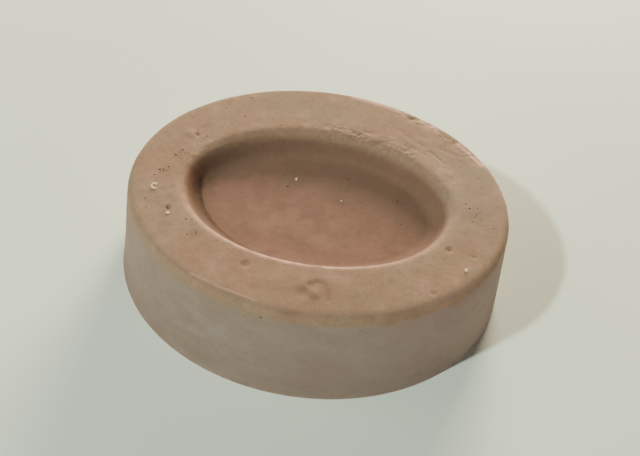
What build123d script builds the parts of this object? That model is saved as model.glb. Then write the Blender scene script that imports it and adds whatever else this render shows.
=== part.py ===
from build123d import *
import os
from math import atan2, cos, degrees, pi, radians, sin, tan

# Plaster mold for a shallow oval dish: one heavy cast block with the dish sunk in its top, and the
# pale crumbs of hard plaster that sit in little seats in its rim and in the dish's floor.
# Millimetres, +Z up, origin at the middle of the face it stands on, +X along its length.

# The block
top_length = 140.0          # over the top, as if its edge were sharp
top_width = 112.0
height = 42.7
wall_spread = 5.4           # how much further out the wall stands at its foot than at the top
top_edge_radius = 2.5       # worn outer edge of the rim
foot_edge_radius = 0.6      # edge that stands on the bench

# The dish
dish_length = 98.6          # at the rim, as if its lip were sharp
dish_width = 64.4
dish_depth = 9.0
dish_wall_run = 4.8         # how far the wall leans in on its way down
dish_shift_x = -1.1         # the dish isn't quite in the middle of the block
dish_shift_y = -1.6
lip_radius = 4.5            # soft shoulder where the dish meets the rim
cove_radius = 4.0           # hollow where the wall meets the floor

# The crumbs
chip_turn = 190.5           # place of the curled chip: angle round the rim, and share across it
chip_across = 0.48
chip_ring_radius = 1.15
chip_thickness = 0.75
chip_gap_angle = 110.0      # the ring is open towards +X
crumb_sink = 0.55           # share of a crumb's height that is below the surface
crumb_slope = 20.0          # how far a crumb's broken faces lean in from upright, in degrees
crumb_corner_shares = [1.0, 0.84, 0.96, 0.8, 1.0, 0.9, 0.82]    # uneven corners of its outline

# angle round the rim, share of the way across it, then length, width, height and turn of the crumb
rim_crumb_places = [
    (207.5, 0.37, 2.2, 1.2, 0.9, 20.0),
    (327.0, 0.77, 1.6, 1.5, 1.1, 0.0),
    (119.0, 0.95, 1.3, 0.8, 0.7, -25.0),
]
# shares of the floor's half length and half width, then the same four sizes
dish_crumb_places = [
    (-0.21, 0.57, 1.9, 1.1, 0.9, 80.0),
    (0.22, 0.25, 0.9, 0.8, 0.6, 0.0),
]

dish_wall_angle = degrees(atan2(dish_depth, dish_wall_run))
lip_run = lip_radius * tan(radians(dish_wall_angle / 2))
cove_run = cove_radius * tan(radians(dish_wall_angle / 2))
dish_floor_z = height - dish_depth


def oval(length, width, z):
    """Flat oval face of the given overall size at height z."""
    return Pos(0, 0, z) * Ellipse(length / 2, width / 2)


def oval_frustum(length, width, low_z, high_z, spread):
    """Oval solid whose wall runs straight from its top size to one that is `spread` larger all round."""
    low = oval(length + 2 * spread, width + 2 * spread, low_z)
    high = oval(length, width, high_z)
    return loft([low, high], ruled=True)


def edges_at(shape, z):
    """The edges that lie in the level plane at height z."""
    return [edge for edge in shape.edges() if abs(edge.bounding_box().min.Z - z) < 1e-3
            and abs(edge.bounding_box().max.Z - z) < 1e-3]


def plain_block():
    """The block as cast: an oval drum that widens to its foot, with the dish sunk in its top."""
    drum = oval_frustum(top_length, top_width, 0, height, wall_spread)
    drum = fillet(edges_at(drum, height), top_edge_radius)
    drum = fillet(edges_at(drum, 0), foot_edge_radius)

    hollow = oval_frustum(dish_length, dish_width, dish_floor_z, height, -dish_wall_run)
    hollow = fillet(edges_at(hollow, dish_floor_z), cove_radius)
    hollow = Pos(dish_shift_x, dish_shift_y, 0) * hollow

    rim_edges_before = len(edges_at(drum, height))
    block = drum - hollow
    rim_edges = sorted(edges_at(block, height), key=lambda edge: edge.length)
    lip = rim_edges[:len(rim_edges) - rim_edges_before]
    return fillet(lip, lip_radius)


def rim_point(turn, across):
    """Point on the flat of the rim: 0 across is the dish's edge and 1 is the outer edge."""
    c, s = cos(radians(turn)), sin(radians(turn))
    inner_x = dish_shift_x + (dish_length / 2 + lip_run) * c
    inner_y = dish_shift_y + (dish_width / 2 + lip_run) * s
    outer_x = (top_length / 2 - top_edge_radius) * c
    outer_y = (top_width / 2 - top_edge_radius) * s
    return inner_x + across * (outer_x - inner_x), inner_y + across * (outer_y - inner_y), height


def floor_point(share_x, share_y):
    """Point on the flat of the dish's floor, as shares of its half length and half width."""
    half_length = dish_length / 2 - dish_wall_run - cove_run
    half_width = dish_width / 2 - dish_wall_run - cove_run
    return dish_shift_x + share_x * half_length, dish_shift_y + share_y * half_width, dish_floor_z


def crumb(point, length, width, tall, turn):
    """One broken lump with flat faces, widest at the surface that it is half sunk in."""
    step = 2 * pi / len(crumb_corner_shares)
    corners = [(share * length / 2 * cos(i * step), share * width / 2 * sin(i * step))
               for i, share in enumerate(crumb_corner_shares)]
    outline = make_face(Polyline(*corners, close=True))
    above = extrude(outline, tall * (1 - crumb_sink), dir=(0, 0, 1), taper=crumb_slope)
    below = extrude(outline, tall * crumb_sink, dir=(0, 0, -1), taper=crumb_slope)
    return Pos(*point) * Rot(0, 0, turn) * (above + below)


def curled_chip():
    """An open ring of plaster, half sunk in the rim, with rounded ends."""
    ring_start = chip_gap_angle / 2
    ring_sweep = 360 - chip_gap_angle
    section = Pos(chip_ring_radius, 0, 0) * (Plane.XZ * Circle(chip_thickness / 2))
    ring = Rot(0, 0, ring_start) * revolve(section, Axis.Z, ring_sweep)
    for turn in (ring_start, ring_start + ring_sweep):
        end_x = chip_ring_radius * cos(radians(turn))
        end_y = chip_ring_radius * sin(radians(turn))
        ring += Pos(end_x, end_y, 0) * Sphere(chip_thickness / 2)
    return Pos(*rim_point(chip_turn, chip_across)) * ring


def main():
    chip = curled_chip()
    rim_crumbs = [crumb(rim_point(*place[:2]), *place[2:]) for place in rim_crumb_places]
    dish_crumbs = [crumb(floor_point(*place[:2]), *place[2:]) for place in dish_crumb_places]

    block = plain_block()
    for lump in [chip] + rim_crumbs + dish_crumbs:
        block -= lump

    nodes = {
        "mold_block": block,
        "curled_chip": chip,
        "rim_crumbs": Compound(children=rim_crumbs),
        "dish_crumbs": Compound(children=dish_crumbs),
    }
    os.makedirs("parts", exist_ok=True)
    for name, shape in nodes.items():
        export_step(shape, f"parts/{name}.step")
        print(name, "volume", round(shape.volume, 2), "mm3")


main()
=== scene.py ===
import random
from math import atan2, cos, degrees, pi, radians, sin, sqrt, tan

import bmesh
import bpy
from bpy.props import FloatProperty, FloatVectorProperty, IntProperty, PointerProperty
from mathutils import Matrix, Vector, noise


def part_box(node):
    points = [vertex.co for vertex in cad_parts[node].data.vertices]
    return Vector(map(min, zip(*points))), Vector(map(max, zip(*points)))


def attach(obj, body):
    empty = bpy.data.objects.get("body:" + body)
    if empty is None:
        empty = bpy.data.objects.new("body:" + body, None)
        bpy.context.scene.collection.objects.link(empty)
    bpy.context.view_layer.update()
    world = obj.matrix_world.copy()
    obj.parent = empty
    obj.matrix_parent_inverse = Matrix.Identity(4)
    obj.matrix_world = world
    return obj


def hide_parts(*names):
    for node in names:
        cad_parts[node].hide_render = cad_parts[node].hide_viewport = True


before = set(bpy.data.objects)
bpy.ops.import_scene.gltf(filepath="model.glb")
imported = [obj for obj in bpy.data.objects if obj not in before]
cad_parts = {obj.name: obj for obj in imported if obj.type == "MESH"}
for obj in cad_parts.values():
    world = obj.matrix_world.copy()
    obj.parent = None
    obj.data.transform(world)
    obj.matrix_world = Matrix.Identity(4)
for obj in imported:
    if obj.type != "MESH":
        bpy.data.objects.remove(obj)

bl_info = {
    "name": "Plaster Dish Mold",
    "version": (1, 0, 0),
    "blender": (4, 5, 0),
    "location": "3D View > Sidebar > Dish Mold",
    "description": "Models an oval plaster mold for a shallow dish, worn and clay-stained",
    "category": "Object",
}

MM = 0.001
BLOCK_LOW, BLOCK_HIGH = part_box("mold_block")
RIM_Z = BLOCK_HIGH.z
WALL_SPREAD = 5.4 * MM
DISH_OFFSET = (-1.1 * MM, -1.6 * MM)


# ---------------------------------------------------------------- sizes and colours

def length(name, default, description):
    return FloatProperty(name=name, description=description, default=default, min=0.0, unit="LENGTH")


def colour(name, default, description):
    return FloatVectorProperty(name=name, description=description, default=default, size=3,
                               subtype="COLOR", min=0.0, max=1.0)


class BlockSizes(bpy.types.PropertyGroup):
    height: length("Height", RIM_Z, "From the bench to the flat of the rim")
    wall_spread: length("Wall spread", WALL_SPREAD, "How much further out the foot stands than the top")
    top_length: length("Top length", BLOCK_HIGH.x - BLOCK_LOW.x - 2 * WALL_SPREAD, "Length over the top")
    top_width: length("Top width", BLOCK_HIGH.y - BLOCK_LOW.y - 2 * WALL_SPREAD, "Width over the top")
    edge_radius: length("Edge radius", 2.5 * MM, "Worn outer edge of the rim")


class DishSizes(bpy.types.PropertyGroup):
    length: length("Length", 98.6 * MM, "At the rim, as if the lip were sharp")
    width: length("Width", 64.4 * MM, "At the rim, as if the lip were sharp")
    depth: length("Depth", 9.0 * MM, "From the rim down to the floor")
    wall_run: length("Wall run", 4.8 * MM, "How far the wall leans in on its way down")
    lip_radius: length("Lip radius", 4.5 * MM, "Soft shoulder where the dish meets the rim")
    cove_radius: length("Cove radius", 4.0 * MM, "Hollow where the wall meets the floor")
    shift: FloatVectorProperty(name="Shift", description="Centre of the dish from the block's centre",
                               default=DISH_OFFSET, size=2, unit="LENGTH")


class WearSettings(bpy.types.PropertyGroup):
    seed: IntProperty(name="Seed", description="Places of the air-bubble pits", default=7, min=0)
    waver: length("Waver", 0.9 * MM, "How uneven the cast surfaces run over a hand's width")
    lumps: length("Lumps", 0.22 * MM, "Height of the small lumps all over")
    crumbling: length("Crumbling", 1.5 * MM, "Depth of the broken surface on the worn shoulder")
    pit_size: length("Pit size", 0.75 * MM, "Middling width of an air-bubble pit")


class PlasterColours(bpy.types.PropertyGroup):
    rim: colour("Rim", (0.392, 0.236, 0.142), "Clay-stained flat of the rim")
    rim_warm: colour("Warm stain", (0.385, 0.203, 0.125), "Pinker patches of the stain")
    olive: colour("Olive stain", (0.345, 0.226, 0.136), "Yellow-green bloom along the outer edge")
    wall: colour("Wall", (0.345, 0.242, 0.191), "Outer wall, greyer than the rim")
    wall_warm: colour("Wall blotches", (0.335, 0.218, 0.167), "Browner patches of the wall")
    scuff: colour("Scuffs", (0.45, 0.37, 0.32), "Paler rubbed streaks on the wall")
    dish: colour("Dish", (0.33, 0.158, 0.11), "Floor of the dish, where wet clay lies")
    dish_dark: colour("Dish blotches", (0.26, 0.125, 0.085), "Darker patches of the floor")
    # painted shadow of the back lip, over the back and the right of the dish floor
    dish_back_shadow: colour("Damp end", (0.215, 0.132, 0.078), "Where the dish drains and stays damp")
    # also used for painted shade along the front of the rim and in a band down the dish's inner wall
    damp_and_shade: colour("Damp", (0.165, 0.101, 0.057), "Darker, damper plaster")
    # also used for painted highlights along the front lip, the front-left arris and the back edges
    fresh_and_highlight: colour("Fresh plaster", (0.84, 0.45, 0.32), "Where an edge has rubbed or chipped clean")
    crumb: colour("Crumb", (0.97, 0.70, 0.50), "Hard pale lumps that take no stain")
    # dirt in the pores; in the hollows this colour is painted shade
    pore_dirt_and_hollow_shade: colour("Dirt", (0.14, 0.08, 0.046), "In the pores and the hollows")


class StageSettings(bpy.types.PropertyGroup):
    floor_colour: colour("Floor", (0.92, 0.935, 0.77), "Pale table top")


# ---------------------------------------------------------------- hand tools

def deselect_all():
    if bpy.context.mode != "OBJECT":
        bpy.ops.object.mode_set(mode="OBJECT")
    bpy.ops.object.select_all(action="DESELECT")


def start_editing(obj, mode="VERT"):
    bpy.context.view_layer.objects.active = obj
    bpy.ops.object.mode_set(mode="EDIT")
    bpy.ops.mesh.select_mode(type=mode)
    bpy.ops.mesh.select_all(action="DESELECT")


def choose(obj, mode, test):
    """Selects the vertices, edges or faces of the mesh in hand that pass the test."""
    bpy.ops.mesh.select_mode(type=mode)
    bpy.ops.mesh.select_all(action="DESELECT")
    mesh = bmesh.from_edit_mesh(obj.data)
    for part in {"VERT": mesh.verts, "EDGE": mesh.edges, "FACE": mesh.faces}[mode]:
        if test(part):
            part.select_set(True)
    mesh.select_flush_mode()
    bmesh.update_edit_mesh(obj.data)


def chosen_size(obj):
    """Half extents along X and Y of what is selected, about the block's middle."""
    mesh = bmesh.from_edit_mesh(obj.data)
    places = [v.co for v in mesh.verts if v.select]
    return max(p.x for p in places), max(p.y for p in places)


def level(edge, z):
    return all(abs(v.co.z - z) < 0.01 * MM for v in edge.verts)


def apply_modifier(obj, kind, name, **settings):
    modifier = obj.modifiers.new(name, kind)
    for key, value in settings.items():
        setattr(modifier, key, value)
    bpy.context.view_layer.objects.active = obj
    bpy.ops.object.modifier_apply(modifier=name)


def lump_texture(name, size, depth=2):
    texture = bpy.data.textures.new(name, "CLOUDS")
    texture.noise_scale = size
    texture.noise_depth = depth
    texture.noise_basis = "IMPROVED_PERLIN"
    return texture


def grain_texture(name, size):
    """Round grains about `size` apart, with gaps between them."""
    texture = bpy.data.textures.new(name, "VORONOI")
    texture.noise_scale = size
    texture.noise_intensity = 1.3
    return texture


def weigh(obj, name, share):
    """A vertex group whose weight is share(place) at each vertex."""
    group = obj.vertex_groups.new(name=name)
    for vertex in obj.data.vertices:
        weight = share(vertex.co)
        if weight > 0.01:
            group.add([vertex.index], min(1.0, weight), "REPLACE")
    return name


def roughen(obj, texture, strength, share=None, mid_level=0.5):
    """Pushes the surface in and out by a texture, all over or only where share says."""
    group = weigh(obj, texture.name, share) if share else ""
    apply_modifier(obj, "DISPLACE", texture.name, texture=texture, strength=strength,
                   mid_level=mid_level, vertex_group=group, texture_coords="LOCAL")


def sink(obj, name, depth, share):
    """Sinks the surface straight down where share says, or lifts it where depth is below 0."""
    apply_modifier(obj, "DISPLACE", name, strength=-depth, mid_level=0.0, direction="Z",
                   vertex_group=weigh(obj, name, share))


def refine(obj, share):
    """Divides each face in four where share says, so that small marks keep their shape."""
    start_editing(obj)
    choose(obj, "FACE", lambda f: len(f.verts) == 4 and share(f.calc_center_median()) > 0.02)
    bpy.ops.mesh.subdivide(number_cuts=1)
    bpy.ops.object.mode_set(mode="OBJECT")


def fade(distance, reach):
    """1 at the middle, smoothly down to 0 at the reach."""
    t = max(0.0, 1 - distance / reach)
    return t * t * (3 - 2 * t)


def near_path(path, reach):
    """Share function: 1 on a path over the plan, down to 0 at the reach."""
    points = [Vector((x * MM, y * MM)) for x, y in path]
    low_x, high_x = min(p.x for p in points) - reach, max(p.x for p in points) + reach
    low_y, high_y = min(p.y for p in points) - reach, max(p.y for p in points) + reach

    def share(co):
        if not (low_x < co.x < high_x and low_y < co.y < high_y):
            return 0.0
        here = Vector((co.x, co.y))
        best = reach
        for a, b in zip(points, points[1:]):
            along = max(0.0, min(1.0, (here - a).dot(b - a) / (b - a).length_squared))
            best = min(best, (here - a.lerp(b, along)).length)
        return fade(best, reach)

    return share


def around(co, turn, spread):
    """1 towards this turn from +X about the middle, down to 0 this many degrees to either side."""
    off = abs((degrees(atan2(co.y, co.x)) - turn + 180) % 360 - 180)
    return fade(off, spread)


def near_point(x, y, reach):
    """Share function: 1 at a place in the plan, down to 0 at the reach. All in mm."""
    def share(co):
        return fade(sqrt((co.x / MM - x) ** 2 + (co.y / MM - y) ** 2), reach)

    return share


def patchy(share, size):
    """The same share, but broken into patches about this size across."""
    return lambda co: share(co) * min(1.0, max(0.0, 0.85 + 1.4 * noise.noise(co / size)))


def high_up(share, floor=RIM_Z - 12 * MM):
    """The same share, but nothing on the underside and the foot."""
    return lambda co: share(co) if co.z > floor else 0.0


# ---------------------------------------------------------------- the block

# how finely the block is divided
RING_POINTS = 120
FLOOR_SPAN = 36
WALL_ROWS = 6
RIM_ROWS = 5
EDGE_SEGMENTS = 3
LIP_SEGMENTS = 4
COVE_SEGMENTS = 3
SMOOTHING = 2
# faces that meet at more than this look crisp
BLOCK_CREASE = radians(45)

# soft hollows in the rim: x, y, reach and depth in mm; a depth below 0 is a bump
SOFT_MARKS = [
    (-21.6, -37.7, 2.4, 0.5),
    (-52.5, 20.3, 3.4, -0.35),
    (-49.6, 20.1, 1.2, 0.5),
    (47.4, -19.0, 1.8, 0.6),
    (-52.2, -17.7, 1.4, 0.9),
    (42.3, -38.7, 1.8, 0.3),
    (56.1, -20.8, 1.5, 0.3),
    (-1.0, -45.8, 3.6, 0.3),
    (2.9, -45.6, 3.0, -0.45),
    (31.8, 46.2, 2.2, 0.6),
]
# where the rim is worn or dented, as paths over the plan in mm
HORSESHOE = [(0.9, -42.2), (3.0, -40.9), (5.2, -41.2), (6.6, -43.6), (7.4, -47.2)]
WORN_SHOULDER = [(0, 33), (9, 32.3), (20, 30), (31, 27)]
CRACKED_CRUST = [(31, 27.5), (42, 23), (50, 14)]
CHIPPED_EDGE = [(27, 49), (33, 46.5), (44, 40), (58.5, 27)]
NICKED_LIP = [(-50, 8), (-47, 14), (-41, 20)]
SCRATCHES = [
    [(27, 38.5), (34, 32.5), (38, 30.5)],
    [(43, 31.5), (49, 28.5), (53, 28.2)],
    [(40, 28.5), (44, 24.5)],
    [(36.5, 36.5), (38.5, 35.5)],
]


def cut_outer_shape(sizes):
    """An oval drum with straight walls that spread to its foot, open underneath."""
    deselect_all()
    bpy.ops.mesh.primitive_cylinder_add(vertices=RING_POINTS, radius=1, depth=sizes.height,
                                        end_fill_type="NGON", location=(0, 0, sizes.height / 2))
    bpy.ops.object.transform_apply(location=True, rotation=True, scale=True)
    block = bpy.context.object
    block.name = "plaster_block"
    start_editing(block)
    middle = sizes.height / 2
    half_length, half_width = sizes.top_length / 2, sizes.top_width / 2
    choose(block, "VERT", lambda v: v.co.z > middle)
    bpy.ops.transform.resize(value=(half_length, half_width, 1), center_override=(0, 0, 0))
    choose(block, "VERT", lambda v: v.co.z < middle)
    bpy.ops.transform.resize(value=(half_length + sizes.wall_spread, half_width + sizes.wall_spread, 1),
                             center_override=(0, 0, 0))
    choose(block, "FACE", lambda f: f.normal.z < -0.9)
    bpy.ops.mesh.delete(type="ONLY_FACE")
    return block


def sink_dish(block, sizes, dish):
    """Insets the top face to the dish's outline, and sinks it to the floor."""
    choose(block, "FACE", lambda f: f.normal.z > 0.9)
    bpy.ops.mesh.inset(thickness=(sizes.top_length - dish.length) / 2, use_even_offset=True)
    reach_x, reach_y = chosen_size(block)
    bpy.ops.transform.resize(value=(dish.length / 2 / reach_x, dish.width / 2 / reach_y, 1),
                             center_override=(0, 0, 0))
    bpy.ops.transform.translate(value=(dish.shift[0], dish.shift[1], 0))
    bpy.ops.mesh.extrude_region_move(TRANSFORM_OT_translate={"value": (0, 0, -dish.depth)})
    lean = (1 - 2 * dish.wall_run / dish.length, 1 - 2 * dish.wall_run / dish.width, 1)
    bpy.ops.transform.resize(value=lean, center_override=(dish.shift[0], dish.shift[1], 0))


def bevel_ring(block, name, test, radius, turn_angle, segments):
    """Rounds a ring of edges; radius(place) lets the rounding grow and shrink round the ring."""
    choose(block, "EDGE", test)
    mesh = bmesh.from_edit_mesh(block.data)
    layers = mesh.edges.layers.float
    weights = layers.get("bevel_weight_edge") or layers.new("bevel_weight_edge")
    radii = {edge: radius(edge.verts[0].co.lerp(edge.verts[1].co, 0.5))
             for edge in mesh.edges if edge.select}
    largest = max(radii.values())
    for edge in mesh.edges:
        edge[weights] = radii.get(edge, 0.0) / largest
    bmesh.update_edit_mesh(block.data)
    bpy.ops.object.mode_set(mode="OBJECT")
    apply_modifier(block, "BEVEL", name, limit_method="WEIGHT", width=largest * tan(turn_angle / 2),
                   segments=segments, use_clamp_overlap=False)
    start_editing(block)


def round_edges(block, sizes, dish):
    """Wears the rim's outer edge and the dish's lip, and hollows the foot of the dish's wall."""
    wall_angle = pi / 2 - atan2(sizes.wall_spread, sizes.height)
    dish_angle = pi / 2 - atan2(dish.wall_run, dish.depth)
    floor_z = sizes.height - dish.depth
    reach_x = dish.length / 2 + 2 * MM
    reach_y = dish.width / 2 + 4.7 * MM

    def in_dish(edge):
        return all(abs(v.co.x) < reach_x and abs(v.co.y) < reach_y for v in edge.verts)

    def steepest(edge):
        return min(face.normal.z for face in edge.link_faces)

    def edge_radius(co):
        return sizes.edge_radius * (1 + 0.55 * around(co, -60, 100) - 0.45 * around(co, 75, 80))

    def lip_radius(co):
        return dish.lip_radius * (1 - 0.62 * around(co, -100, 100))

    bevel_ring(block, "rim_edge", lambda e: level(e, sizes.height) and not in_dish(e) and
               steepest(e) < 0.5, edge_radius, wall_angle, EDGE_SEGMENTS)
    bevel_ring(block, "lip", lambda e: level(e, sizes.height) and in_dish(e) and steepest(e) < 0.9,
               lip_radius, dish_angle, LIP_SEGMENTS)
    bevel_ring(block, "cove", lambda e: level(e, floor_z) and steepest(e) < 0.9,
               lambda co: dish.cove_radius, dish_angle, COVE_SEGMENTS)


def ring_rows(block, sizes, dish):
    """Divides the long faces of the wall and rim into rows, and grids the floor of the dish."""
    floor_z = sizes.height - dish.depth
    tall = 0.6 * sizes.height
    long = 8 * MM
    choose(block, "FACE", lambda f: f.normal.z > 0.99 and len(f.verts) > 4)
    bpy.ops.mesh.delete(type="ONLY_FACE")
    choose(block, "EDGE", lambda e: level(e, floor_z) and len(e.link_faces) == 1)
    bpy.ops.mesh.fill_grid(span=FLOOR_SPAN)
    choose(block, "EDGE", lambda e: abs(e.verts[0].co.z - e.verts[1].co.z) > tall)
    bpy.ops.mesh.subdivide(number_cuts=WALL_ROWS)
    choose(block, "EDGE", lambda e: level(e, sizes.height) and e.calc_length() > long)
    bpy.ops.mesh.subdivide(number_cuts=RIM_ROWS)


def wear_surface(block, wear):
    """Makes the cast surfaces uneven, and breaks up the worn shoulder and the chipped edge."""
    def above_foot(co):
        return min(1.0, co.z / (6 * MM))

    worn = high_up(patchy(near_path(WORN_SHOULDER, 6 * MM), 4 * MM))
    crust = high_up(patchy(near_path(CRACKED_CRUST, 6 * MM), 4 * MM))
    chipped = high_up(near_path(CHIPPED_EDGE, 4 * MM))
    refine(block, lambda co: max(worn(co), crust(co)))
    refine(block, lambda co: max(worn(co) - 0.25, crust(co) - 0.4, chipped(co) - 0.3, 0.0))
    for x, y, reach, _ in SOFT_MARKS:
        refine(block, high_up(near_point(x, y, reach * 1.3)))
    refine(block, high_up(near_path(HORSESHOE, 2.5 * MM)))
    roughen(block, lump_texture("waver", 45 * MM), wear.waver, above_foot, mid_level=0.62)
    roughen(block, lump_texture("lumps", 7 * MM), wear.lumps, above_foot)
    roughen(block, lump_texture("tooth", 1.8 * MM, 3), 0.10 * MM, above_foot)
    roughen(block, lump_texture("bites", 5.0 * MM, 3), wear.crumbling, worn, mid_level=0.6)
    roughen(block, grain_texture("grains", 1.7 * MM), -0.3 * wear.crumbling, worn, mid_level=0.3)
    roughen(block, lump_texture("crust", 3.2 * MM, 4), 0.7 * MM, crust)
    roughen(block, lump_texture("chips", 2.6 * MM, 4), 1.3 * MM, chipped, mid_level=0.68)
    roughen(block, lump_texture("nicks", 4.0 * MM), 0.7 * MM, high_up(near_path(NICKED_LIP, 4.5 * MM)))


def press_marks(block):
    """Presses the soft dents and bumps, the horseshoe groove and the scratches into the rim."""
    for index, (x, y, reach, depth) in enumerate(SOFT_MARKS):
        sink(block, f"mark_{index}", depth * MM, high_up(near_point(x, y, reach)))
    sink(block, "horseshoe", 0.25 * MM, high_up(near_path(HORSESHOE, 2.0 * MM)))
    for index, path in enumerate(SCRATCHES):
        sink(block, f"scratch_{index}", 0.22 * MM, high_up(near_path(path, 0.9 * MM)))


# pits placed one by one in the rim: x, y and width in mm
LONE_PITS = [
    (-61.0, -15.0, 0.8), (-59.7, -19.1, 0.7), (-45.0, -21.9, 0.9), (-42.9, -21.6, 0.7),
    (-32.6, -29.6, 0.6), (-30.1, -30.1, 0.6), (-28.3, -32.4, 0.6), (-53.2, 29.3, 0.6),
    (-41.7, 37.0, 0.7), (-33.6, 33.9, 0.8), (-41.0, 28.9, 0.5), (-19.1, 31.7, 0.6),
    (-12.6, 49.8, 0.6), (56.1, -20.8, 0.5), (47.3, -19.2, 0.8), (47.1, -18.4, 0.6),
    (-52.2, -17.7, 1.2), (-49.8, 20.3, 0.7), (34.3, 44.0, 0.9), (35.5, 37.5, 0.6),
]
# groups of pits in the rim: x, y and spread in mm, and how many
PIT_GROUPS = [
    (-53.8, 8.8, 3.2, 15), (-57.6, 0.4, 3.0, 10), (-40.6, -27.6, 2.6, 7), (57.5, -1.0, 6.0, 7),
    (-47.0, 26.0, 6.0, 3), (47.0, -9.0, 5.0, 3),
]
# pits in the floor of the dish: x, y and width in mm
DISH_PITS = [
    (-15.0, 14.4, 0.8), (-12.7, 8.5, 0.9), (29.6, 8.7, 1.0), (9.6, 16.5, 0.7), (31.1, -2.7, 0.8),
    (-29.6, 2.0, 0.6),
]
# pits high on the outer wall: turn from +X in degrees, how far below the rim and width in mm
WALL_PITS = [(-147, 4.5, 0.8), (-101, 4.0, 0.8), (-86, 4.2, 0.8), (-152, 3.0, 0.7), (-74, 5.0, 0.6)]
# how many more are scattered over the rim, the floor of the dish and the outer wall
RIM_SCATTER = 30
DISH_SCATTER = 14
WALL_SCATTER = 24


def wall_place(sizes, turn, drop):
    """A place on the outer wall, this far round and this far below the rim."""
    out = sizes.wall_spread * drop / sizes.height
    x = (sizes.top_length / 2 + out) * cos(turn)
    y = (sizes.top_width / 2 + out) * sin(turn)
    return x, y, sizes.height - drop


def pit_places(wear, sizes, dish):
    """Places and widths of all the pits: listed one by one, in groups, then thinly scattered."""
    chance = random.Random(wear.seed)
    floor_z = sizes.height - dish.depth
    pits = [((x * MM, y * MM, sizes.height), width * MM) for x, y, width in LONE_PITS]
    pits += [((x * MM, y * MM, floor_z), width * MM) for x, y, width in DISH_PITS]
    pits += [(wall_place(sizes, radians(turn), drop * MM), width * MM) for turn, drop, width in WALL_PITS]
    for x, y, spread, count in PIT_GROUPS:
        for _ in range(count):
            place = (chance.gauss(x, spread / 2) * MM, chance.gauss(y, spread / 2) * MM, sizes.height)
            pits.append((place, wear.pit_size * chance.uniform(0.65, 1.1)))
    for _ in range(RIM_SCATTER):
        turn, share = chance.uniform(0, 2 * pi), chance.uniform(0.2, 0.85)
        x = dish.length / 2 + share * (sizes.top_length - dish.length) / 2
        y = dish.width / 2 + share * (sizes.top_width - dish.width) / 2
        place = (x * cos(turn) + dish.shift[0], y * sin(turn) + dish.shift[1], sizes.height)
        pits.append((place, wear.pit_size * chance.uniform(0.45, 0.75)))
    for _ in range(DISH_SCATTER):
        turn, share = chance.uniform(0, 2 * pi), 0.85 * sqrt(chance.random())
        x = (dish.length / 2 - dish.wall_run - dish.cove_radius) * share * cos(turn) + dish.shift[0]
        y = (dish.width / 2 - dish.wall_run - dish.cove_radius) * share * sin(turn) + dish.shift[1]
        pits.append(((x, y, floor_z), wear.pit_size * chance.uniform(0.45, 0.8)))
    for _ in range(WALL_SCATTER):
        place = wall_place(sizes, chance.uniform(0, 2 * pi), chance.uniform(5, 39) * MM)
        pits.append((place, wear.pit_size * chance.uniform(0.5, 0.9)))
    return pits


def cut_pits(block, wear, sizes, dish):
    """Cuts the air-bubble pits: one small lump, copied to each place, taken away from the block."""
    deselect_all()
    bpy.ops.mesh.primitive_ico_sphere_add(subdivisions=2, radius=0.5)
    lump = bpy.context.object
    chance = random.Random(wear.seed + 1)
    copies = []
    for place, width in pit_places(wear, sizes, dish):
        copy = bpy.data.objects.new("pit", lump.data.copy())
        bpy.context.collection.objects.link(copy)
        copy.location = place
        copy.rotation_euler = [chance.uniform(0, pi) for _ in range(3)]
        copy.scale = [width * chance.uniform(0.8, 1.25) for _ in range(3)]
        copies.append(copy)
    bpy.data.objects.remove(lump)
    deselect_all()
    for copy in copies:
        copy.select_set(True)
    bpy.context.view_layer.objects.active = copies[0]
    bpy.ops.object.join()
    pits = bpy.context.object
    bpy.ops.object.transform_apply(location=True, rotation=True, scale=True)
    deselect_all()
    apply_modifier(block, "BOOLEAN", "pits", operation="DIFFERENCE", object=pits, solver="MANIFOLD")
    bpy.data.objects.remove(pits)


def paint(obj, name, share):
    """Stores share(place) at each vertex, for the material to read as a mask."""
    layer = obj.data.attributes.new(name, "FLOAT", "POINT")
    layer.data.foreach_set("value", [min(1.0, share(vertex.co)) for vertex in obj.data.vertices])


# where the colour changes, as paths over the plan in mm
# the back edges: chipped clean, with a painted highlight along them
FRESH_AND_LIT_EDGES = [
    [(8, 54.4), (20, 52.0), (29, 49.0)],
    [(36, 45.5), (42, 42.0)],
    [(51, 35), (54, 32), (60, 25)],
]
PALE_LIP_PATCH = [(4, -37), (12, -38)]
# painted highlight along the rounded outer edge at the front left
ARRIS_HIGHLIGHT = [(-38.7, -44.4), (-28, -48.3), (-15.5, -51.6)]
OLIVE_EDGE = [(-69, -8), (-66, -20), (-58, -33), (-45, -44), (-31, -51), (-12, -56)]
# x, y and reach in mm
DARK_HOLLOW = (-1.0, -45.4, 4.5)
# a group with more pits than this is darker all over
CROWDED = 6


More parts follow.
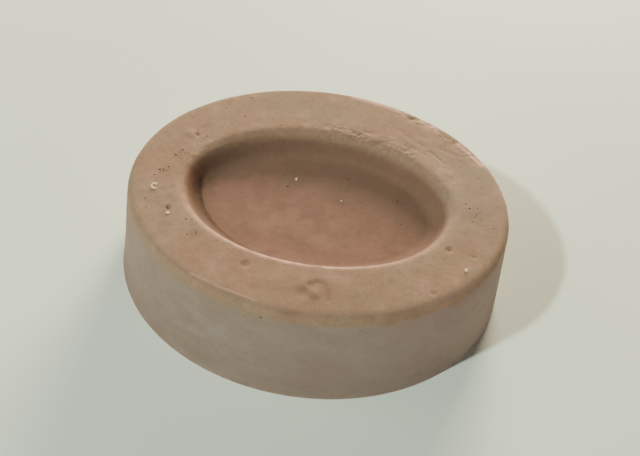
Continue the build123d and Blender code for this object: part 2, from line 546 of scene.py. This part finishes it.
def paint_marks(block, sizes, dish):
    """Masks for the material: rubbed or chipped clean with painted highlights, damp or dark with painted
    shade on the dish's wall, and olive.
    """
    fresh_and_lit_edges = [near_path(path, 1.8 * MM) for path in FRESH_AND_LIT_EDGES]
    lip_patch = near_path(PALE_LIP_PATCH, 3.5 * MM)
    worn, crust = near_path(WORN_SHOULDER, 4.5 * MM), near_path(CRACKED_CRUST, 5 * MM)
    arris_highlight = near_path(ARRIS_HIGHLIGHT, 0.6 * MM)
    groove, hollow = near_path(HORSESHOE, 2.2 * MM), near_point(*DARK_HOLLOW)
    pitted = [near_point(x, y, 1.6 * spread) for x, y, spread, count in PIT_GROUPS
              if count > CROWDED]
    olive_edge = near_path(OLIVE_EDGE, 6 * MM)
    half_length, half_width = dish.length / 2, dish.width / 2

    def past_lip(co):
        """How far out from the dish's outline, in mm; below 0 inside it."""
        x, y = (co.x - dish.shift[0]) / half_length, (co.y - dish.shift[1]) / half_width
        return (sqrt(x * x + y * y) - 1) * half_width / MM

    # painted highlight: a pale line along the front lip of the dish
    front_lip_highlight = patchy(lambda co: fade(abs(past_lip(co) - 0.2), 1.9) * around(co, -105, 85), 3 * MM)

    def fresh_and_highlight(co):
        if co.z < sizes.height - 3 * MM:
            return 0.0
        return max(front_lip_highlight(co), 0.12 * lip_patch(co), 0.35 * arris_highlight(co), 0.08 * worn(co), 0.18 * crust(co),
                   *(0.9 * edge(co) for edge in fresh_and_lit_edges))

    def damp_and_shade(co):
        if co.z < sizes.height - 1.5 * MM:
            # painted shade: a band down the dish's inner wall, strongest at the left
            wall = fade(abs(past_lip(co) + 3.6), 6.0) if co.z > sizes.height - dish.depth - 1 * MM else 0.0
            return wall * (0.32 + 0.34 * around(co, 186, 85))
        return max(0.4 * groove(co), 0.45 * hollow(co), 0.25 * worn(co),
                   *(0.36 * group(co) for group in pitted))

    def olive(co):
        return olive_edge(co) if co.z > sizes.height - 6 * MM else 0.0

    paint(block, "fresh_and_highlight", fresh_and_highlight)
    paint(block, "damp_and_shade", damp_and_shade)
    paint(block, "olive", olive)


class MOLD_OT_block(bpy.types.Operator):
    """Models the cast block with its dish, its worn edges and its pits"""
    bl_idname = "mold.block"
    bl_label = "Plaster block"

    def execute(self, context):
        scene = context.scene
        sizes, dish, wear = scene.mold_block, scene.mold_dish, scene.mold_wear
        block = cut_outer_shape(sizes)
        sink_dish(block, sizes, dish)
        round_edges(block, sizes, dish)
        ring_rows(block, sizes, dish)
        bpy.ops.object.mode_set(mode="OBJECT")
        apply_modifier(block, "SUBSURF", "smooth_rows", levels=SMOOTHING, render_levels=SMOOTHING)
        wear_surface(block, wear)
        press_marks(block)
        close_foot(block)
        block.data.materials.append(stained_plaster(scene))
        cut_pits(block, wear, sizes, dish)
        paint_marks(block, sizes, dish)
        block.vertex_groups.clear()
        block.select_set(True)
        bpy.context.view_layer.objects.active = block
        bpy.ops.object.shade_smooth_by_angle(angle=BLOCK_CREASE)
        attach(block, "root")
        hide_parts("mold_block")
        return {"FINISHED"}


def close_foot(block):
    """Fills the open underside with one flat face."""
    start_editing(block)
    choose(block, "EDGE", lambda e: len(e.link_faces) == 1)
    bpy.ops.mesh.edge_face_add()
    bpy.ops.mesh.select_all(action="SELECT")
    bpy.ops.mesh.normals_make_consistent(inside=False)
    bpy.ops.object.mode_set(mode="OBJECT")


# ---------------------------------------------------------------- the crumbs and the chip

CRUMB_CREASE = radians(50)
CRUMB_KNOCKS = 7
CHIP_SIDES = 14
CHIP_STEPS = 30
CHIP_HALF_GAP = radians(55)


def finish_crumb(crumb, name, node, material):
    crumb.name = name
    crumb.data.materials.append(material)
    deselect_all()
    crumb.select_set(True)
    bpy.context.view_layer.objects.active = crumb
    bpy.ops.object.transform_apply(location=True, rotation=True, scale=True)
    bpy.ops.object.shade_smooth_by_angle(angle=CRUMB_CREASE)
    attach(crumb, "root")
    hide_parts(node)


def lumpy_crumb(place, extent, turn, seed):
    """A broken lump: an ico sphere, squashed, knocked about and roughened."""
    deselect_all()
    bpy.ops.mesh.primitive_ico_sphere_add(subdivisions=4, radius=0.5)
    crumb = bpy.context.object
    start_editing(crumb)
    chance = random.Random(seed)
    for _ in range(CRUMB_KNOCKS):
        way = Vector([chance.gauss(0, 1) for _ in range(3)]).normalized()
        choose(crumb, "VERT", lambda v: v.co.normalized().dot(way) > 0.93)
        bpy.ops.transform.translate(value=way * chance.uniform(-0.16, 0.05), use_proportional_edit=True,
                                    proportional_edit_falloff="SHARP", proportional_size=0.45)
    bpy.ops.object.mode_set(mode="OBJECT")
    apply_modifier(crumb, "DISPLACE", "knocks", texture=lump_texture("knocks", 0.35, 3), strength=0.16,
                   texture_coords="LOCAL")
    crumb.scale = extent
    crumb.rotation_euler = (0, 0, radians(turn))
    crumb.location = place
    return crumb


def islands(node):
    """The boxes of the separate solids of a frame node, from left to right."""
    mesh = bmesh.new()
    mesh.from_mesh(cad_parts[node].data)
    bmesh.ops.remove_doubles(mesh, verts=mesh.verts, dist=0.001 * MM)
    left, boxes = set(mesh.verts), []
    while left:
        queue = [left.pop()]
        corners = []
        while queue:
            vertex = queue.pop()
            corners.append(vertex.co.copy())
            for edge in vertex.link_edges:
                other = edge.other_vert(vertex)
                if other in left:
                    left.remove(other)
                    queue.append(other)
        low = Vector([min(c[i] for c in corners) for i in range(3)])
        high = Vector([max(c[i] for c in corners) for i in range(3)])
        boxes.append((low, high))
    mesh.free()
    return sorted(boxes, key=lambda box: tuple(box[0]))


class MOLD_OT_crumbs(bpy.types.Operator):
    """Models the pale crumbs in the rim and in the dish, each at its own place"""
    bl_idname = "mold.crumbs"
    bl_label = "Pale crumbs"

    def execute(self, context):
        material = crumb_plaster(context.scene)
        for node in ("rim_crumbs", "dish_crumbs"):
            for index, (low, high) in enumerate(islands(node)):
                crumb = lumpy_crumb((low + high) / 2, high - low, 25 * index, 11 + index)
                finish_crumb(crumb, f"{node[:-1]}_{index + 1}", node, material)
        return {"FINISHED"}


class MOLD_OT_curled_chip(bpy.types.Operator):
    """Models the small open ring of pale plaster stuck in the rim"""
    bl_idname = "mold.curled_chip"
    bl_label = "Curled chip"

    def execute(self, context):
        low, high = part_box("curled_chip")
        thickness = high.z - low.z
        outer = (high.y - low.y) / 2
        middle = Vector((low.x + outer, (low.y + high.y) / 2, (low.z + high.z) / 2))
        ring = outer - thickness / 2
        deselect_all()
        start = (ring * cos(CHIP_HALF_GAP), -ring * sin(CHIP_HALF_GAP), 0)
        bpy.ops.mesh.primitive_circle_add(vertices=CHIP_SIDES, radius=thickness / 2, fill_type="NGON",
                                          location=start, rotation=(pi / 2, 0, -CHIP_HALF_GAP))
        chip = context.object
        bpy.ops.object.transform_apply(location=True, rotation=True, scale=True)
        start_editing(chip)
        bpy.ops.mesh.select_all(action="SELECT")
        bpy.ops.mesh.spin(steps=CHIP_STEPS, angle=2 * (pi - CHIP_HALF_GAP), center=(0, 0, 0),
                          axis=(0, 0, 1))
        bpy.ops.mesh.select_all(action="SELECT")
        bpy.ops.mesh.remove_doubles(threshold=0.001 * MM)
        bpy.ops.mesh.normals_make_consistent(inside=False)
        bpy.ops.object.mode_set(mode="OBJECT")
        apply_modifier(chip, "SUBSURF", "soften", levels=1, render_levels=1)
        apply_modifier(chip, "DISPLACE", "knocks", texture=lump_texture("chip_knocks", 0.5 * MM, 3),
                       strength=0.28 * MM, mid_level=0.55, texture_coords="LOCAL")
        chip.location = middle
        finish_crumb(chip, "chip", "curled_chip", crumb_plaster(context.scene))
        return {"FINISHED"}


# ---------------------------------------------------------------- materials

class Wires:
    """Adds nodes to one tree, and joins them as they are added."""

    def __init__(self, tree):
        self.tree = tree

    def add(self, kind, inputs=(), **settings):
        node = self.tree.nodes.new(kind)
        for key, value in settings.items():
            setattr(node, key, value)
        for key, value in dict(inputs).items():
            if isinstance(value, bpy.types.NodeSocket):
                self.tree.links.new(value, node.inputs[key])
            else:
                node.inputs[key].default_value = value
        return node

    def math(self, operation, a, b=0.0, c=0.0, clamp=False):
        return self.add("ShaderNodeMath", {0: a, 1: b, 2: c}, operation=operation,
                        use_clamp=clamp).outputs[0]

    def times(self, a, b):
        return self.math("MULTIPLY", a, b)

    def step(self, value, low, high, to_low=0.0, to_high=1.0):
        """Smooth step of the value from low to high."""
        return self.add("ShaderNodeMapRange", {"Value": value, "From Min": low, "From Max": high,
                                               "To Min": to_low, "To Max": to_high},
                        interpolation_type="SMOOTHSTEP").outputs[0]

    def mix(self, share, a, b):
        node = self.add("ShaderNodeMix", data_type="RGBA")
        for index, value in ((0, share), (6, a), (7, b)):
            if isinstance(value, bpy.types.NodeSocket):
                self.tree.links.new(value, node.inputs[index])
            elif index == 0:
                node.inputs[index].default_value = value
            else:
                node.inputs[index].default_value = (*value[:3], 1)
        return node.outputs[2]

    def noise(self, place, size, detail=3.0, roughness=0.5, distortion=0.0):
        """Cloudy pattern whose lumps are about `size` across."""
        return self.add("ShaderNodeTexNoise", {"Vector": place, "Scale": 1 / size, "Detail": detail,
                                               "Roughness": roughness, "Distortion": distortion}
                        ).outputs["Fac"]

    def stretched(self, place, turn, stretch):
        """Coordinates turned about Z and drawn out along X, for streaks."""
        return self.add("ShaderNodeMapping", {"Vector": place, "Rotation": (0, 0, radians(turn)),
                                              "Scale": (1 / stretch, 1, 1)}).outputs[0]


def new_group(name, inputs, outputs):
    """An empty shader node group; inputs and outputs map a socket's name to its kind and default."""
    tree = bpy.data.node_groups.new(name, "ShaderNodeTree")
    for socket, (kind, default) in inputs.items():
        made = tree.interface.new_socket(socket, in_out="INPUT", socket_type=kind)
        if default is not None:
            made.default_value = default
    for socket, kind in outputs.items():
        tree.interface.new_socket(socket, in_out="OUTPUT", socket_type=kind)
    wires = Wires(tree)
    return wires, wires.add("NodeGroupInput").outputs, wires.add("NodeGroupOutput").inputs


def use_group(wires, name, inputs):
    node = wires.add("ShaderNodeGroup")
    node.node_tree = bpy.data.node_groups[name]
    for key, value in inputs.items():
        if isinstance(value, bpy.types.NodeSocket):
            wires.tree.links.new(value, node.inputs[key])
        else:
            node.inputs[key].default_value = value
    return node.outputs


def make_grain_group():
    """Plaster's own texture: soft mottling, fine tooth, and pinprick pores."""
    wires, given, out = new_group(
        "plaster_grain",
        {"Place": ("NodeSocketVector", None), "Mottle Size": ("NodeSocketFloat", 6 * MM),
         "Pore Size": ("NodeSocketFloat", 1.4 * MM), "Pore Share": ("NodeSocketFloat", 0.10)},
        {"Mottle": "NodeSocketFloat", "Tooth": "NodeSocketFloat", "Pores": "NodeSocketFloat",
         "Height": "NodeSocketFloat"})
    place = given["Place"]
    scale = wires.math("DIVIDE", 1.0, given["Mottle Size"])
    mottle = wires.add("ShaderNodeTexNoise", {"Vector": place, "Scale": scale, "Detail": 4.0,
                                              "Roughness": 0.6}).outputs["Fac"]
    tooth = wires.noise(place, 0.9 * MM, detail=4.0, roughness=0.65)
    cells = wires.add("ShaderNodeTexVoronoi", {"Vector": place,
                                               "Scale": wires.math("DIVIDE", 1.0, given["Pore Size"])})
    picked = wires.math("LESS_THAN", wires.add("ShaderNodeSeparateColor", {0: cells.outputs["Color"]}
                                               ).outputs[0], given["Pore Share"])
    spot = wires.step(cells.outputs["Distance"], 0.30, 0.16)
    pores = wires.times(spot, picked)
    height = wires.math("SUBTRACT", wires.math("MULTIPLY_ADD", mottle, 0.35, tooth), pores)
    for name, value in (("Mottle", mottle), ("Tooth", tooth), ("Pores", pores), ("Height", height)):
        wires.tree.links.new(value, out[name])


def make_wear_and_shade_group():
    """Masks of rubbed edges and of painted shade in hollows, from how the surface bends."""
    wires, given, out = new_group(
        "edge_wear_and_hollow_shade",
        {"Place": ("NodeSocketVector", None), "Break Size": ("NodeSocketFloat", 3 * MM)},
        {"Rubbed": "NodeSocketFloat", "Hollow": "NodeSocketFloat"})
    bend = wires.add("ShaderNodeNewGeometry").outputs["Pointiness"]
    breaks = wires.add("ShaderNodeTexNoise", {"Vector": given["Place"], "Detail": 3.0,
                                              "Scale": wires.math("DIVIDE", 1.0, given["Break Size"])}
                       ).outputs["Fac"]
    edge = wires.step(bend, 0.515, 0.56)
    hollow = wires.step(bend, 0.485, 0.44)
    wires.tree.links.new(wires.times(edge, wires.step(breaks, 0.35, 0.6)), out["Rubbed"])
    wires.tree.links.new(hollow, out["Hollow"])


def start_material(name, roughness):
    material = bpy.data.materials.new(name)
    material.use_nodes = True
    wires = Wires(material.node_tree)
    shader = material.node_tree.nodes["Principled BSDF"]
    shader.inputs["Roughness"].default_value = roughness
    shader.inputs["Specular IOR Level"].default_value = 0.2
    place = wires.add("ShaderNodeTexCoord").outputs["Object"]
    return material, wires, shader, place


def bump(wires, shader, height, strength, distance):
    node = wires.add("ShaderNodeBump", {"Height": height, "Strength": strength, "Distance": distance})
    wires.tree.links.new(node.outputs[0], shader.inputs["Normal"])


def oval_distance(wires, x, y, centre, reach):
    """1 on an oval with these half extents, less inside it."""
    across = wires.math("DIVIDE", wires.math("SUBTRACT", x, centre[0]), reach[0])
    along = wires.math("DIVIDE", wires.math("SUBTRACT", y, centre[1]), reach[1])
    return wires.math("SQRT", wires.math("ADD", wires.times(across, across), wires.times(along, along)))


class Plan:
    """Places on the block, and the noise that its stains share."""

    def __init__(self, wires, place):
        parts = wires.add("ShaderNodeSeparateXYZ", {0: place}).outputs
        self.wires = wires
        self.place = place
        self.x, self.y, self.z = parts[0], parts[1], parts[2]
        self.blotch = wires.noise(place, 16 * MM, detail=3, distortion=0.6)
        self.cloud = wires.noise(place, 7 * MM, detail=4, roughness=0.6)
        self.fine = wires.noise(place, 2.2 * MM, detail=4, roughness=0.65)

    def spot(self, centre, reach, share=1.0, soft=0.8):
        """Share in the middle of an oval patch (sizes in mm), fading to 0 at its edge."""
        centre, reach = [c * MM for c in centre], [r * MM for r in reach]
        distance = oval_distance(self.wires, self.x, self.y, centre, reach)
        mask = self.wires.step(distance, 1.0, 1.0 - soft)
        return mask if share == 1.0 else self.wires.times(mask, share)

    def streaks(self, turn, stretch, size, detail, roughness):
        """Noise drawn out along one way over the plan."""
        return self.wires.noise(self.wires.stretched(self.place, turn, stretch), size, detail, roughness)


def rim_colour(wires, plan, colours):
    """Clay stain in warm and olive patches, clouded darker and flecked paler, with painted shade along the
    front.
    """
    warm = wires.math("ADD", wires.step(plan.blotch, 0.42, 0.64, 0.0, 0.6),
                      plan.spot((-18, -38), (46, 22), 0.6, soft=0.7), clamp=True)
    rim = wires.mix(warm, colours.rim, colours.rim_warm)
    rim = wires.mix(plan.spot((-14, 45), (28, 11), 0.75), rim, colours.olive)
    rim = wires.mix(wires.step(plan.cloud, 0.42, 0.75, 0.0, 0.28), rim, colours.damp_and_shade)
    rim = wires.mix(wires.step(plan.cloud, 0.46, 0.22, 0.0, 0.22), rim, colours.fresh_and_highlight)
    rim = wires.mix(wires.step(plan.fine, 0.5, 0.75, 0.0, 0.32), rim, colours.damp_and_shade)
    rim = wires.mix(plan.spot((56, 12), (22, 34), 0.16), rim, colours.scuff)
    # painted shade: darker along the front of the rim
    return wires.mix(plan.spot((16, -47), (44, 13), 0.20), rim, colours.damp_and_shade)


def wall_colour(wires, plan, colours):
    """Greyer plaster in long streaks, darker towards the foot, scuffed paler at the front left."""
    streaks = plan.streaks(0, 2.5, 5 * MM, detail=5, roughness=0.62)
    wall = wires.mix(wires.step(plan.blotch, 0.35, 0.7, 0.0, 0.6), colours.wall, colours.wall_warm)
    wall = wires.mix(wires.step(streaks, 0.40, 0.7, 0.0, 0.16), wall, colours.damp_and_shade)
    wall = wires.mix(wires.step(plan.z, 26 * MM, 2 * MM, 0.0, 0.16), wall, colours.damp_and_shade)
    scuff = wires.times(plan.spot((-30, -53), (30, 14)), wires.step(streaks, 0.52, 0.30))
    return wires.mix(wires.times(scuff, 0.22), wall, colours.scuff)


def dish_colour(wires, plan, colours):
    """Pink clay with darker blotches, fine scratches, a paler middle, and a painted shadow over the back
    and the right of the floor.
    """
    floor = wires.mix(wires.step(plan.blotch, 0.35, 0.68, 0.0, 0.8), colours.dish, colours.dish_dark)
    floor = wires.mix(wires.step(plan.fine, 0.40, 0.72, 0.0, 0.24), floor, colours.damp_and_shade)
    lines = wires.step(plan.streaks(35, 9.0, 1.3 * MM, detail=3, roughness=0.6), 0.58, 0.72)
    scratches = wires.times(lines, plan.spot((-9, -2), (16, 11)))
    floor = wires.mix(wires.times(scratches, 0.6), floor, colours.rim)
    pale = wires.times(plan.spot((-8, -8), (38, 17)), wires.step(plan.cloud, 0.56, 0.36, 0.0, 0.5))
    floor = wires.mix(pale, floor, colours.rim_warm)
    # painted shadow of the back lip: darker and olive over the back and the right of the floor
    backwards = wires.math("MULTIPLY_ADD", wires.math("MAXIMUM", plan.x, 0.0), 0.5, plan.y)
    ragged_back = wires.math("ADD", backwards, wires.math("MULTIPLY_ADD", plan.cloud, 26 * MM, -13 * MM))
    painted_back_shadow = wires.step(ragged_back, 3 * MM, 17 * MM, 0.0, 0.55)
    return wires.mix(painted_back_shadow, floor, colours.dish_back_shadow)


def stained_plaster(scene):
    """Cast plaster, stained by clay on the rim and in the dish, greyer on the outer wall, with painted
    shade and painted highlights.
    """
    colours, sizes, dish = scene.mold_colours, scene.mold_block, scene.mold_dish
    material, wires, shader, place = start_material("stained_plaster", 0.86)
    grain = use_group(wires, "plaster_grain", {"Place": place})
    # rubbed edges, and the hollows where shade is painted
    wear = use_group(wires, "edge_wear_and_hollow_shade", {"Place": place})
    fresh_and_highlight, damp_and_shade, olive = (wires.add("ShaderNodeAttribute", attribute_name=name).outputs["Fac"]
                          for name in ("fresh_and_highlight", "damp_and_shade", "olive"))
    plan = Plan(wires, place)
    cloud, fine = plan.cloud, plan.fine

    ragged = wires.math("ADD", plan.z, wires.math("MULTIPLY_ADD", cloud, 2.4 * MM, -1.2 * MM))
    above_wall = wires.step(ragged, sizes.height - 4.2 * MM, sizes.height - 2.6 * MM)
    below_lip = wires.step(ragged, sizes.height - 1.5 * MM, sizes.height - 4.5 * MM)
    dish_reach = (dish.length / 2 + 3 * MM, dish.width / 2 + 3 * MM)
    in_dish = wires.step(oval_distance(wires, plan.x, plan.y, dish.shift, dish_reach), 1.03, 0.97)
    inside = wires.times(in_dish, below_lip)
    base = wires.mix(above_wall, wall_colour(wires, plan, colours), rim_colour(wires, plan, colours))
    base = wires.mix(inside, base, dish_colour(wires, plan, colours))

    base = wires.mix(wires.times(olive, wires.step(cloud, 0.25, 0.6, 0.15, 0.55)), base, colours.olive)
    base = wires.mix(wires.times(damp_and_shade, wires.step(fine, 0.25, 0.65, 0.55, 1.0)), base, colours.damp_and_shade)
    base = wires.mix(wires.step(grain["Tooth"], 0.3, 0.75, 0.0, 0.16), base, colours.damp_and_shade)
    base = wires.mix(wires.times(grain["Pores"], 0.22), base, colours.pore_dirt_and_hollow_shade)
    rubbed = wires.times(wear["Rubbed"], wires.math("SUBTRACT", 1.0, inside))
    base = wires.mix(wires.times(rubbed, 0.22), base, colours.fresh_and_highlight)
    base = wires.mix(wires.times(fresh_and_highlight, wires.step(fine, 0.25, 0.6, 0.45, 1.0)), base, colours.fresh_and_highlight)
    # painted shade in the hollows: the cove of the dish and inside the pits
    base = wires.mix(wires.times(wear["Hollow"], 0.6), base, colours.pore_dirt_and_hollow_shade)
    wires.tree.links.new(base, shader.inputs["Base Color"])
    gloss = wires.step(wires.math("ADD", damp_and_shade, cloud), 0.3, 1.3, 0.92, 0.72)
    wires.tree.links.new(gloss, shader.inputs["Roughness"])
    bump(wires, shader, grain["Height"], 0.5, 0.15 * MM)
    return material


def crumb_plaster(scene):
    """Hard pale plaster of the crumbs, with a little of the stain in their hollows."""
    if "crumb_plaster" in bpy.data.materials:
        return bpy.data.materials["crumb_plaster"]
    colours = scene.mold_colours
    material, wires, shader, place = start_material("crumb_plaster", 0.8)
    grain = use_group(wires, "plaster_grain", {"Place": place, "Mottle Size": 1.2 * MM,
                                               "Pore Size": 0.5 * MM, "Pore Share": 0.12})
    base = wires.mix(wires.step(grain["Mottle"], 0.35, 0.7, 0.0, 0.3), colours.crumb, colours.fresh_and_highlight)
    base = wires.mix(wires.times(grain["Pores"], 0.3), base, colours.rim)
    wires.tree.links.new(base, shader.inputs["Base Color"])
    bump(wires, shader, grain["Height"], 0.5, 0.06 * MM)
    return material


def table_top(scene):
    """Plain pale sheet with the faintest cloudiness."""
    material, wires, shader, place = start_material("table_top", 0.7)
    cloud = wires.noise(place, 90 * MM, detail=2)
    colour_now = Vector(scene.mold_stage.floor_colour)
    base = wires.mix(wires.step(cloud, 0.3, 0.7), colour_now * 0.985, colour_now)
    wires.tree.links.new(base, shader.inputs["Base Color"])
    return material


# ---------------------------------------------------------------- the stage

CAMERA_PLACE = Vector((1.6, -198.0, 257.8)) * MM
CAMERA_TILT = 50.0
CAMERA_ROLL = 8.08
CAMERA_LENS = 45.0
CAMERA_SENSOR = 36.0
TABLE_SIZE = 4.0
ROOM_COLOUR = (0.9, 1.0, 1.0, 1)
ROOM_STRENGTH = 0.015


def add_camera():
    """A camera that looks down at the tilt and leans by the roll."""
    tilt, roll = radians(CAMERA_TILT), radians(CAMERA_ROLL)
    right = Vector((1, 0, 0))
    up = Vector((0, sin(tilt), cos(tilt)))
    back = Vector((0, -cos(tilt), sin(tilt)))
    turned_right = right * cos(roll) + up * sin(roll)
    turned_up = up * cos(roll) - right * sin(roll)
    data = bpy.data.cameras.new("camera")
    data.lens = CAMERA_LENS
    data.sensor_width = CAMERA_SENSOR
    data.clip_start = 0.01
    camera = bpy.data.objects.new("camera", data)
    camera.matrix_world = Matrix.Translation(CAMERA_PLACE) @ Matrix(
        (turned_right, turned_up, back)).transposed().to_4x4()
    bpy.context.collection.objects.link(camera)
    bpy.context.scene.camera = camera


# lamps: compass turn from +X and height above the bench in degrees, distance, width, watts and tint
LAMPS = {
    "back_window": (79, 16, 1.0, 0.50, 26.0, (1.0, 0.92, 0.71)),
    "right_fill": (320, 8, 1.0, 0.45, 3.1, (0.80, 0.88, 1.0)),
    "left_fill": (180, 40, 1.0, 0.45, 1.7, (1.0, 0.70, 0.80)),
    "front_left_lamp": (213, 46.3, 1.4, 0.08, 17.0, (0.80, 1.0, 0.93)),
}


def add_lamp(name, turn, rise, distance, width, watts, tint):
    """A round soft lamp that points at the block's middle."""
    turn, rise = radians(turn), radians(rise)
    way = Vector((cos(turn) * cos(rise), sin(turn) * cos(rise), sin(rise)))
    data = bpy.data.lights.new(name, "AREA")
    data.shape, data.size, data.energy, data.color = "DISK", width, watts, tint
    lamp = bpy.data.objects.new(name, data)
    lamp.location = way * distance + Vector((0, 0, RIM_Z / 2))
    lamp.rotation_mode = "QUATERNION"
    lamp.rotation_quaternion = way.to_track_quat("Z", "Y")
    lamp.visible_camera = False
    bpy.context.collection.objects.link(lamp)


class MOLD_OT_stage(bpy.types.Operator):
    """Sets the pale table top, the soft lights and the camera"""
    bl_idname = "mold.stage"
    bl_label = "Stage"

    def execute(self, context):
        deselect_all()
        bpy.ops.mesh.primitive_plane_add(size=TABLE_SIZE)
        floor = context.object
        floor.name = "table_top"
        floor.data.materials.append(table_top(context.scene))
        world = bpy.data.worlds.new("soft_room")
        world.use_nodes = True
        room = world.node_tree.nodes["Background"].inputs
        room["Color"].default_value = ROOM_COLOUR
        room["Strength"].default_value = ROOM_STRENGTH
        context.scene.world = world
        for name, settings in LAMPS.items():
            add_lamp(name, *settings)
        add_camera()
        return {"FINISHED"}


class MOLD_PT_panel(bpy.types.Panel):
    """The mold's settings, and a button for each of its pieces and for the stage"""
    bl_idname = "MOLD_PT_panel"
    bl_label = "Dish mold"
    bl_space_type = "VIEW_3D"
    bl_region_type = "UI"
    bl_category = "Dish Mold"

    def draw(self, context):
        for name, group in SETTINGS.items():
            box = self.layout.box()
            for setting in group.__annotations__:
                box.prop(getattr(context.scene, name), setting)
        for operator in OPERATORS:
            self.layout.operator(operator.bl_idname)


OPERATORS = (MOLD_OT_block, MOLD_OT_curled_chip, MOLD_OT_crumbs, MOLD_OT_stage)
SETTINGS = {"mold_block": BlockSizes, "mold_dish": DishSizes, "mold_wear": WearSettings,
            "mold_colours": PlasterColours, "mold_stage": StageSettings}


def register():
    for cls in (*SETTINGS.values(), *OPERATORS, MOLD_PT_panel):
        bpy.utils.register_class(cls)
    for name, group in SETTINGS.items():
        setattr(bpy.types.Scene, name, PointerProperty(type=group))


def unregister():
    for name in SETTINGS:
        delattr(bpy.types.Scene, name)
    for cls in reversed((*SETTINGS.values(), *OPERATORS, MOLD_PT_panel)):
        bpy.utils.unregister_class(cls)


def main():
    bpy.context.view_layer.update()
    register()
    make_grain_group()
    make_wear_and_shade_group()
    bpy.ops.mold.block()
    bpy.ops.mold.crumbs()
    bpy.ops.mold.curled_chip()
    bpy.ops.mold.stage()


if __name__ == "__main__":
    main()
